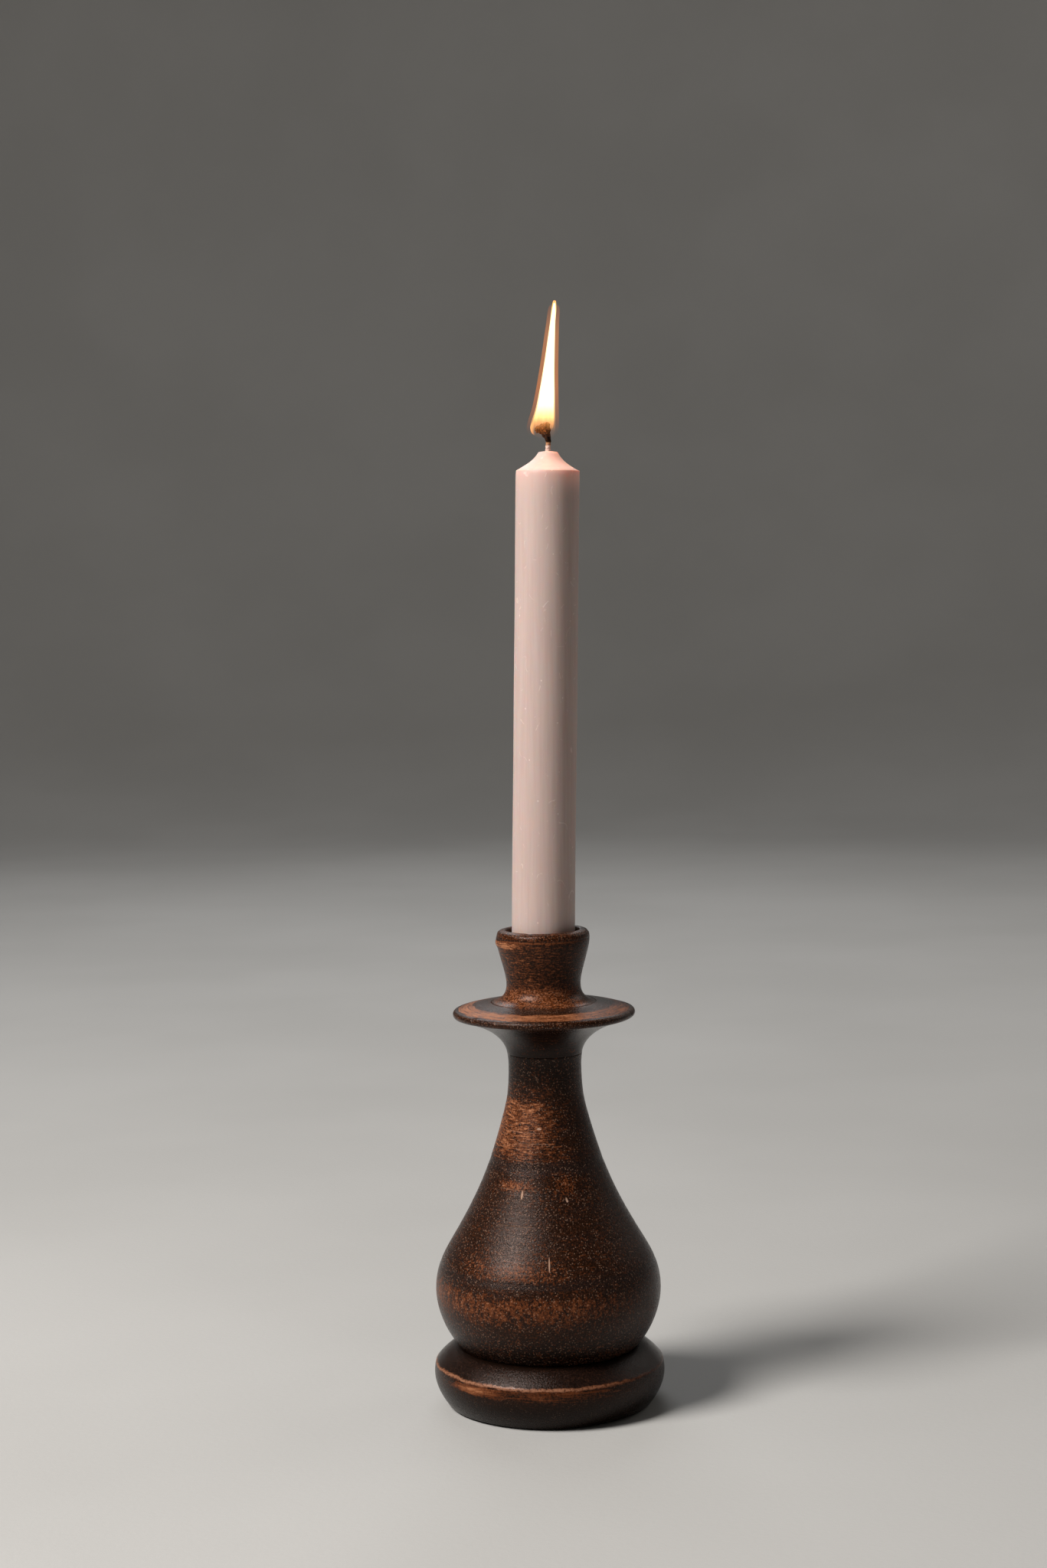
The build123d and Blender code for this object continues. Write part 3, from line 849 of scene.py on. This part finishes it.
def candle_uneven(angle, r, z):
    """The wax waves a little along its side and cone, and a bell curve softens the shoulder between them."""
    top = wax_top / MM
    skin = 0.035 * waves(8, 21, (angle, 3), (z * 0.03, 4)) * (r > 9)
    shoulder = np.exp(-(((z - top + 6.3) / 1.2) ** 2)) * (r > 9.5)
    cone = 0.10 * waves(8, 22, (angle, 3), (z * 0.5, 1)) * (z > top - 6.0) * (r > 1.5)
    return skin - 0.12 * shoulder * (1 + 0.5 * waves(6, 23, (angle, 5))) + cone


def tube(path, radius, around):
    """A closed tube: a circle whose radius is given for every point of a path, carried square to the path.

    Its first and last circles are drawn together to their middles, which are its two poles.
    """
    way = np.gradient(path, axis=0)
    way /= np.linalg.norm(way, axis=1)[:, None]
    side = np.cross(way, (0.0, 1.0, 0.0))
    side /= np.linalg.norm(side, axis=1)[:, None]
    over = np.cross(way, side)
    angle = np.linspace(0, TAU, around, endpoint=False)
    ring = side[:, None] * np.cos(angle)[None, :, None] + over[:, None] * np.sin(angle)[None, :, None]
    points = path[:, None] + ring * radius[..., None]
    points[0] = points[0].mean(0)
    points[-1] = points[-1].mean(0)
    return points


STEM_TOP = 4.6  # above the wax
STEM_SIDES, STRAND_SIDES = 24, 12
STRANDS = 26


def wick_stem(material):
    """The plaited stem through the wax: a tube whose radius rises where two screws of ridges cross.

    Each screw is the size of the sine of 1.5 times the angle plus or minus 2.6 times the height.
    """
    low = float(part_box("wick")[0].z) / MM - wax_top / MM + 0.5
    up = np.concatenate([np.linspace(low, -1.0, 12), np.linspace(-0.8, STEM_TOP, 46)])
    sway = 0.25 * np.clip(up / 4.0, 0, 1) ** 2
    angle = np.linspace(0, TAU, STEM_SIDES, endpoint=False)
    plait = sum(np.abs(np.sin(1.5 * angle + way * 2.6 * up[:, None])) for way in (1, -1))
    drawn_in = np.where(up > STEM_TOP - 0.1, 0.3, 1.0)[:, None]
    stem = tube(beside_wick(sway, 0.0, up), (0.70 + 0.11 * plait) * drawn_in * MM, STEM_SIDES)
    grid_piece("wick_stem", stem, (False, True), CANDLE, material, ("wick",), (True, True))


def wick_strand(draw, k, material):
    """One charred strand: it rises by a quarter of a sine from the stem, reaches to the left and curls down.

    Its thickness swells along it by a power of a sine, with knots by a faster sine.
    """
    t = np.linspace(0, 1, 34)
    reach = draw.uniform(0.15, 1.0)
    high = 8.0 + 2.3 * (1 - reach) + draw.uniform(-1.3, 0.4)
    depth = draw.uniform(-2.2, 2.2) * (0.5 + 0.5 * np.sin(np.pi * reach))
    curl = draw.uniform(-0.2, 1.0)
    start_x, start_up, end_x = 0.3, 2.9, 0.9 - 5.7 * reach
    x = start_x + (end_x - start_x) * t ** 1.2
    y = depth * np.sin(0.5 * np.pi * t) + 0.25 * np.sin(6 * t + k)
    lift = np.sin(0.5 * np.pi * np.minimum(t * 1.15, 1.0))
    up = start_up + (high - start_up) * lift - curl * np.maximum(t - 0.75, 0) * 4
    swell = 0.30 + 0.55 * np.sin(np.pi * np.clip(t * 0.88 + 0.1, 0, 1)) ** 0.7
    thick = swell * draw.uniform(0.75, 1.1)
    knots = 1 + 0.20 * np.sin(26 * t + k)
    radius = (thick * knots * MM)[:, None] * np.ones((1, STRAND_SIDES))
    strand = tube(beside_wick(x, y, up), radius, STRAND_SIDES)
    return grid_piece(f"wick_strand_{k}", strand, (False, True), None, material, (), (True, True))


def wick_pieces():
    """The braided wick: a plaited stem through the wax, and a tuft of charred strands."""
    material = cotton_finish()
    wick_stem(material)
    draw = np.random.default_rng(5)
    tuft = join("wick_char", [wick_strand(draw, k, material) for k in range(STRANDS)])
    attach(tuft, CANDLE)


def join(name, pieces):
    """Several meshes as one piece."""
    with bpy.context.temp_override(active_object=pieces[0], selected_editable_objects=pieces):
        bpy.ops.object.join()
    pieces[0].name = name
    pieces[0].data.name = name
    return pieces[0]


# the flame's outline: height above the wax, left edge and right edge
FLAME_EDGES = np.array([
    (4.6, -3.4, 1.6),
    (5.8, -5.5, 2.3),
    (7.6, -6.3, 2.6),
    (10.4, -5.8, 2.6),
    (14.2, -4.6, 2.45),
    (20.0, -3.35, 2.3),
    (26.5, -2.25, 2.15),
    (32.5, -1.35, 2.15),
    (38.5, -0.55, 2.2),
    (44.5, 0.25, 2.3),
    (48.6, 0.65, 2.6),
    (51.0, 0.95, 2.6),
])


def smooth_between(x, stations, values):
    """A smooth curve through the values at stations: cubics that share their slopes where they meet."""
    slope = np.gradient(values, stations)
    i = np.clip(np.searchsorted(stations, x) - 1, 0, len(stations) - 2)
    gap = stations[i + 1] - stations[i]
    t = (x - stations[i]) / gap
    return (
        (2 * t**3 - 3 * t**2 + 1) * values[i] + (t**3 - 2 * t**2 + t) * gap * slope[i]
        + (3 * t**2 - 2 * t**3) * values[i + 1] + (t**3 - t**2) * gap * slope[i + 1]
    )


FLAME_ROWS, FLAME_SIDES = 90, 48
FLAME_DEPTH = 0.86  # of its width


def flame_shell(name, grow, low, high, material):
    """A closed leaf shape from low to high: ellipses between the flame's two edges, each grown by grow.

    Its rows are closest at both ends, where the ellipses shrink by a root to rounded tips.
    """
    t = np.linspace(0, 1, FLAME_ROWS)
    share = 0.5 - 0.5 * np.cos(np.pi * t)
    stations = FLAME_EDGES[:, 0]
    up = low + (high - low) * share
    held = np.clip(up, stations[0], stations[-1])
    left = smooth_between(held, stations, FLAME_EDGES[:, 1])
    right = smooth_between(held, stations, FLAME_EDGES[:, 2])
    ends = np.sqrt(np.clip(1 - np.abs(2 * t - 1) ** 7, 0, 1))
    middle = (left + right) / 2
    half = np.maximum((right - left) / 2 + grow, 0.12) * ends
    angle = np.linspace(0, TAU, FLAME_SIDES, endpoint=False)
    x = middle[:, None] + half[:, None] * np.cos(angle)
    y = -half[:, None] * FLAME_DEPTH * np.sin(angle)
    points = beside_wick(x, y, up[:, None] + 0 * angle)
    return grid_piece(name, points, (False, True), CANDLE, material, (), (True, True))


FLAME_FOOT, FLAME_SPAN = 3.0, 50.0  # above the wax, and from there up


def flame_finish(name, stops, alpha_stops, strength, edge=0.0):
    """Glowing gas: its colour and how much it hides follow the height, made streaky by a drawn-out noise.

    Both kinds of stops run from 0 at the flame's foot to 1 at the end of its span. edge is how much the
    foot shines at its outer edge, on the side that the wick leans to.
    """
    paint = Paint(name)
    share = (paint.z - wax_top / MM - FLAME_FOOT) / FLAME_SPAN
    streak = paint.noise(paint.x * 0.9, paint.y * 0.9, paint.z * 0.09, 2.0, 0.5)
    at = share + (streak - 0.5) * 0.05
    colour = paint.tint(at, stops)
    cover = paint.tint(at, [(place, (a, a, a)) for place, a in alpha_stops])
    alpha = Value(paint, paint.node("ShaderNodeSeparateColor", {}, {0: cover}).outputs[0])
    if edge:
        outer = (wick_x() - paint.x).rise(4.4, 6.0) * at.rise(0.01, 0.05) * at.rise(0.20, 0.10)
        alpha = (alpha + edge * outer).at_most(1)
    return paint.done(
        paint.surface(
            Base_Color=(0.0, 0.0, 0.0), Roughness=1.0, Specular_IOR_Level=0.0, Alpha=alpha,
            Emission_Color=colour, Emission_Strength=strength,
        )
    )


def flame_pieces():
    """The flame: a bright core, a thinner veil and a faint glow, each a shell wider than the one before."""
    amber, gold, cream, white = (1.0, 0.36, 0.08), (1.0, 0.60, 0.22), (1.0, 0.82, 0.50), (1.0, 0.95, 0.82)
    core = flame_finish(
        "flame_core",
        [(0.0, amber), (0.12, amber), (0.20, gold), (0.31, cream), (0.44, white), (0.80, white),
         (0.92, cream), (1.0, gold)],
        [(0.0, 0.0), (0.09, 0.0), (0.15, 0.09), (0.22, 0.30), (0.31, 0.62), (0.42, 0.96), (0.85, 0.96),
         (0.95, 0.6), (1.0, 0.1)],
        5.0,
    )
    veil = flame_finish(
        "flame_veil",
        [(0.0, (0.30, 0.28, 0.42)), (0.07, (0.9, 0.34, 0.10)), (0.18, gold), (0.35, cream), (0.8, cream),
         (0.93, gold), (1.0, amber)],
        [(0.0, 0.004), (0.08, 0.012), (0.14, 0.07), (0.22, 0.25), (0.35, 0.55), (0.85, 0.60), (0.96, 0.35),
         (1.0, 0.08)],
        2.2,
        edge=0.30,
    )
    glow = flame_finish(
        "flame_glow",
        [(0.0, (0.8, 0.2, 0.04)), (0.3, (1.0, 0.30, 0.07)), (0.8, (1.0, 0.34, 0.09)),
         (1.0, (0.8, 0.2, 0.05))],
        [(0.0, 0.0), (0.08, 0.008), (0.2, 0.10), (0.4, 0.20), (0.75, 0.17), (0.95, 0.05), (1.0, 0.0)],
        1.1,
    )
    shells = [
        flame_shell("flame_core", -0.55, 7.0, 50.6, core),
        flame_shell("flame_veil", -0.15, 4.6, 51.5, veil),
        flame_shell("flame_glow", 1.15, 5.0, 50.0, glow),
    ]
    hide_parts("flame")
    for shell in shells:
        shell.visible_shadow = False


def candle_pieces():
    """The candle, turned round its own leaning axis, with its wick and its flame."""
    turned(
        "candle_wax", "candle", candle_uneven, CANDLE, wax_finish(),
        around=240, fine=1.2, coarse=4.0, seen=lambda r, z: r > 1.5, axis=tuple(lean), middle=tuple(axis_at),
    )
    wick_pieces()
    flame_pieces()


# ------------------------------------------------------------------ hidden fittings
def revolved(radius, height, sine, cosine):
    """A section carried round the upright axis: x is radius times sine and y is radius times cosine."""
    return np.stack([radius * sine, radius * cosine, height[:, None] + 0 * sine], -1)


def fittings():
    """The felt pad, and the screw's own finish.

    The felt's section runs out along its underside, round its rim by half an ellipse and back along its top.
    The rim is frayed by a fine uneven field.
    """
    low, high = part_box("felt_pad")
    outer, thick = float(high.x), float(high.z - low.z)
    rim = 0.35 * thick
    flat = outer - rim
    steps = 40
    turn = np.linspace(-np.pi / 2, np.pi / 2, 14)
    r = np.concatenate([np.linspace(0, flat, steps), flat + rim * np.cos(turn), np.linspace(flat, 0, steps)])
    z = np.concatenate([np.zeros(steps), thick / 2 + thick / 2 * np.sin(turn), np.full(steps, thick)])
    angle = np.linspace(-np.pi, np.pi, 240, endpoint=False)
    fray = 0.04 * MM * waves(12, 31, (angle[None], 20), (r[:, None] * 1500, 3)) * (r[:, None] > flat)
    points = revolved(r[:, None] + fray, z, np.sin(angle), -np.cos(angle))
    grid_piece("felt_disc", points, (False, True), STICK, felt_finish(), ("felt_pad",), (True, True))
    screw = frame["nodes"]["foot_screw"]
    screw.data.materials.clear()
    screw.data.materials.append(steel_finish())


# ------------------------------------------------------------------ stage, lights and camera
def studio():
    """A round pale cove: a flat floor that sweeps up by a quarter circle into a wall all round."""
    paint = Paint("studio_paper")
    x, y, z = paint.x, paint.y, paint.z
    tooth = paint.noise(x * 0.4, y * 0.4, z * 0.4, 4.0, 0.6)
    cloud = paint.noise(x * 0.004, y * 0.004, z * 0.004, 3.0, 0.5)
    colour = paint.mix(cloud.rise(0.3, 0.7), (0.44, 0.432, 0.415), (0.47, 0.462, 0.445))
    normal = paint.bump(tooth, 0.1)
    material = paint.done(
        paint.surface(Base_Color=colour, Roughness=0.9, Specular_IOR_Level=0.2, Normal=normal)
    )
    # metres: the floor's radius, the sweep's radius and the wall's height
    flat, bend, wall = 2.0, 1.0, 3.0
    steps = 24
    turn = np.linspace(0, np.pi / 2, 20)[1:]
    r = np.concatenate([[0.0], np.geomspace(0.05, flat, steps), flat + bend * np.sin(turn), [flat + bend]])
    z = np.concatenate([np.zeros(steps + 1), bend - bend * np.cos(turn), [wall]])
    angle = np.linspace(-np.pi, np.pi, 96, endpoint=False)
    points = revolved(r[:, None], z, np.cos(angle), np.sin(angle))
    cove = grid_piece("studio_cove", points, (False, True), None, material, (), (True, False))


def placed(name, data, place, right, up, back):
    """A new object for a light's or a camera's data, whose own axes are right, up and back."""
    thing = bpy.data.objects.new(name, data)
    bpy.context.scene.collection.objects.link(thing)
    turn = np.eye(4)
    turn[:3] = np.stack([right, up, back, place], 1)
    thing.matrix_world = Matrix(turn.tolist())
    return thing


# name, degrees from the front and above the level, metres away and across, power in watts, colour
SOFT_LIGHTS = [
    ("key_light", -57, 46, 1.5, 0.6, 34, (1.0, 0.97, 0.94)),
    ("back_light", 186, 40, 1.8, 1.2, 9, (0.95, 0.97, 1.0)),
    ("side_light", 128, 30, 1.8, 1.0, 2.2, (1.0, 0.95, 0.90)),
]
LIT_HEIGHT = 0.17  # metres: the soft lights look at the axis this far up


def soft_light(name, azimuth, elevation, distance, size, power, colour):
    """A round soft light at a direction and distance from the lit point, turned to face it."""
    data = bpy.data.lights.new(name, "AREA")
    data.energy = power
    data.color = colour
    data.shape = "DISK"
    data.size = size
    a, e = np.radians(azimuth), np.radians(elevation)
    back = np.array([np.sin(a) * np.cos(e), -np.cos(a) * np.cos(e), np.sin(e)])
    right = np.cross((0, 0, 1), back)
    right /= np.linalg.norm(right)
    place = np.array((0.0, 0.0, LIT_HEIGHT)) + distance * back
    placed(name, data, place, right, np.cross(back, right), back)


def lights():
    """The soft lights, a small warm one that rides in the flame, and a faint sky."""
    for light in SOFT_LIGHTS:
        soft_light(*light)
    data = bpy.data.lights.new("flame_light", "POINT")
    data.energy = 0.03
    data.color = (1.0, 0.52, 0.34)
    data.shadow_soft_size = 0.004
    glow = placed("flame_light", data, beside_wick(0.0, 0.0, 20.0), *np.eye(3))
    glow.parent = frame["bodies"][CANDLE]
    world = bpy.data.worlds.new("studio")
    world.use_nodes = True
    sky = world.node_tree.nodes["Background"]
    sky.inputs["Color"].default_value = (0.80, 0.82, 0.85, 1)
    sky.inputs["Strength"].default_value = 0.03
    bpy.context.scene.world = world


def camera():
    """A long lens a little above the candle's middle, looking slightly down and very slightly tilted.

    It stands in front of the axis and looks along +Y, turned left and then down; the tilt turns right and up.
    """
    distance, height = 0.9482, 0.2925  # metres
    down, left, tilt = np.radians((4.50, 0.352, 0.955))
    ahead = np.array([-np.sin(left) * np.cos(down), np.cos(left) * np.cos(down), -np.sin(down)])
    right = np.array([np.cos(left), np.sin(left), 0.0])
    up = np.cross(right, ahead)
    tilted_right = np.cos(tilt) * right - np.sin(tilt) * up
    tilted_up = np.sin(tilt) * right + np.cos(tilt) * up
    data = bpy.data.cameras.new("camera")
    data.sensor_width = 36.0
    data.lens = 63.0
    place = (0.0, -distance, height)
    bpy.context.scene.camera = placed("camera", data, place, tilted_right, tilted_up, -ahead)


bpy.context.scene.view_settings.view_transform = "Standard"
wooden_pieces()
candle_pieces()
fittings()
studio()
lights()
camera()
